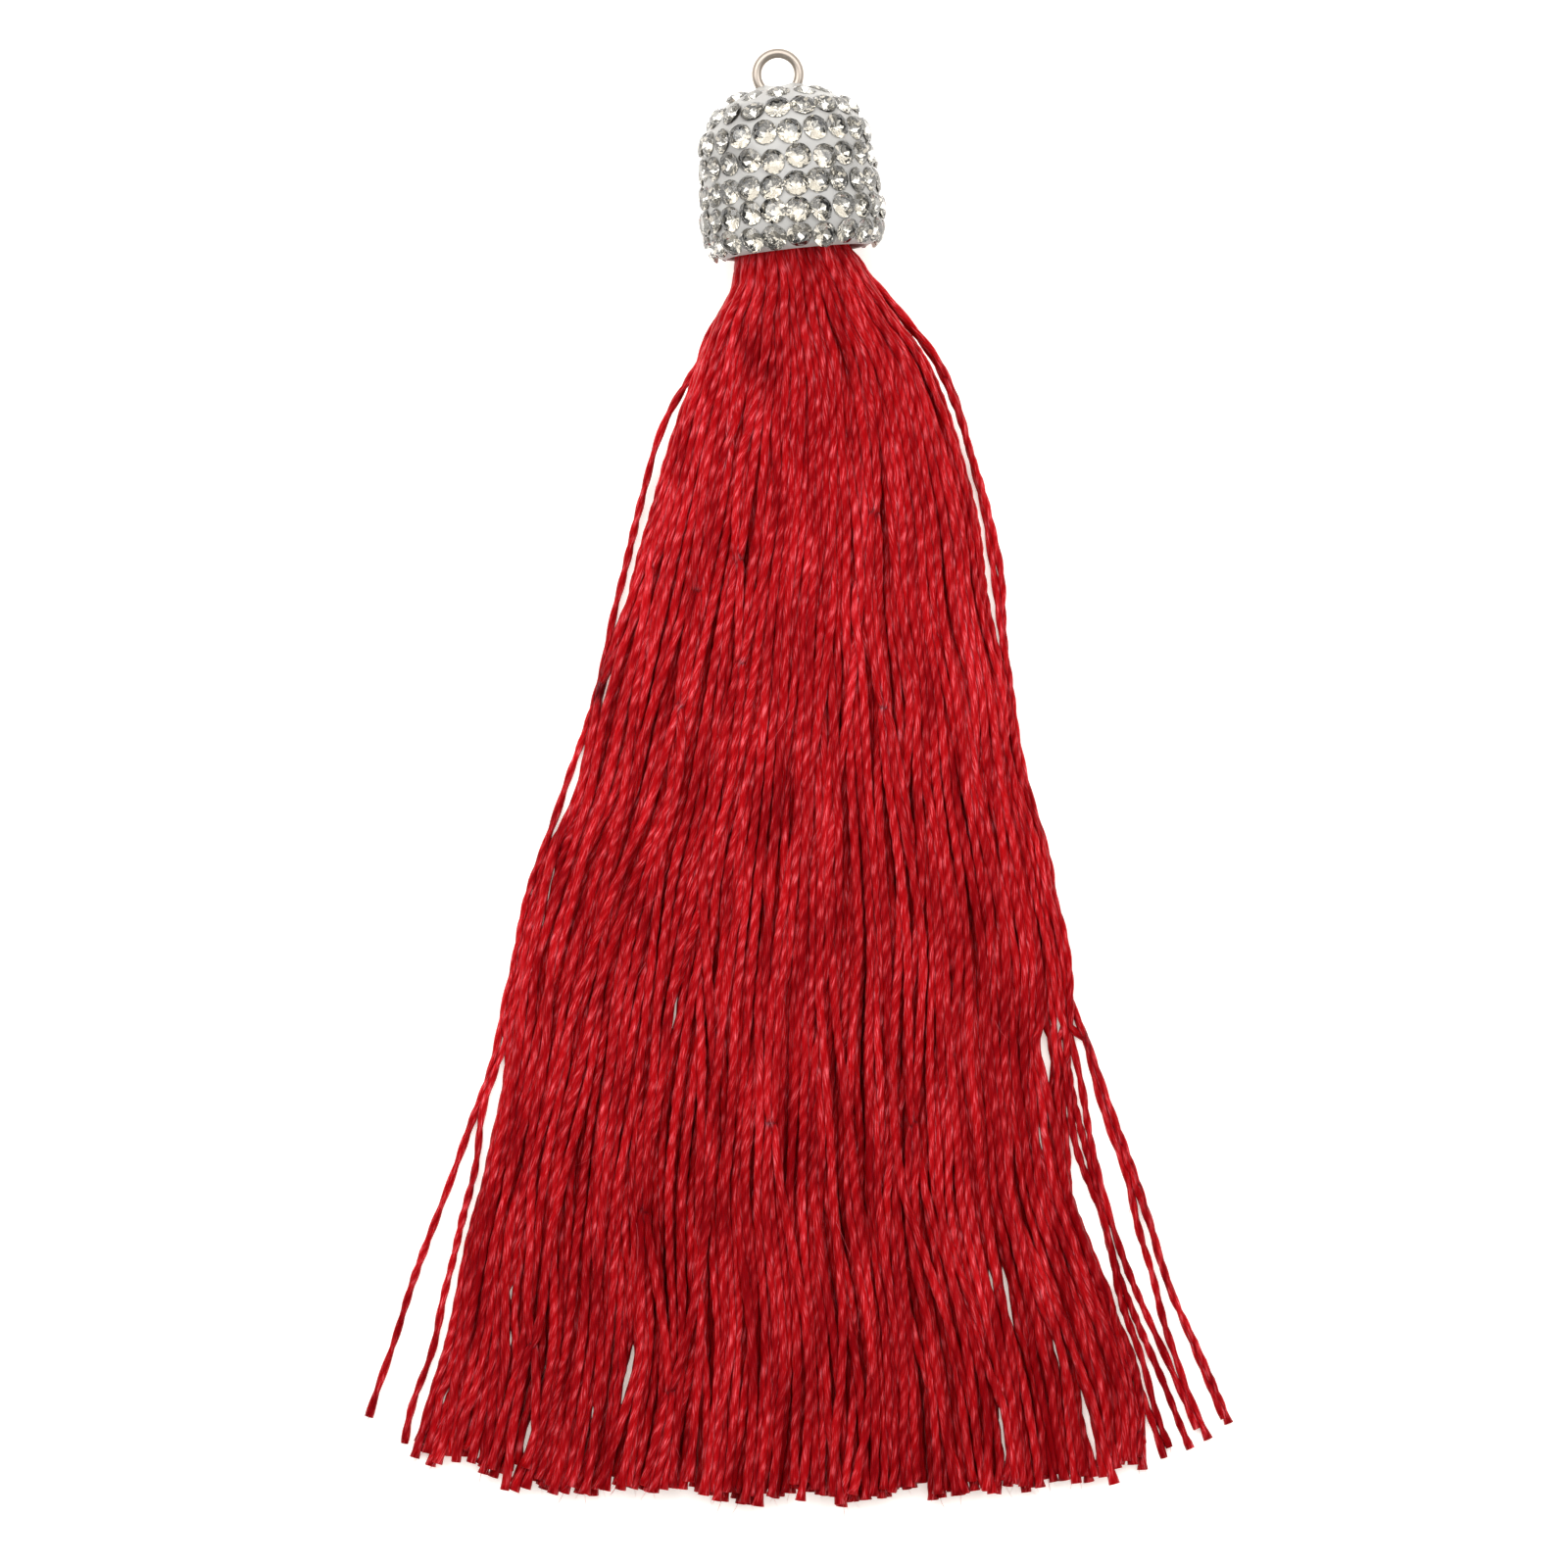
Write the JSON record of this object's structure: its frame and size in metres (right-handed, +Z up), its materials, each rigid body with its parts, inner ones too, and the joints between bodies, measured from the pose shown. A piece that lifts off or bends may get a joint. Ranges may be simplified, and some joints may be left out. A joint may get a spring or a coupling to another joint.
{
  "type": "jeweled tassel",
  "caption": "Thread tassel fanned out on a surface, with a clay cap paved with cut clear stones and a plain wire ring in its top.",
  "frame": {"origin": "on the surface it lies on, in the middle of the flat spot under the cap", "axes": "+Y from the threads' cut ends towards the ring, +Z up from the surface, +X to the right of a viewer above who has the ring at the top"},
  "size_m": [0.0652, 0.1093, 0.0135],
  "materials": {
    "wire": "nickel-plated round wire, polished",
    "clay_and_stones": "pale polymer clay paved with foil-backed clear glass stones",
    "thread": "two-ply twisted rayon thread with a satin sheen"
  },
  "bodies": {
    "root": {"jump_ring": "wire", "stone_cap": "clay_and_stones", "thread_skirt": "thread"}
  },
  "joints": []
}
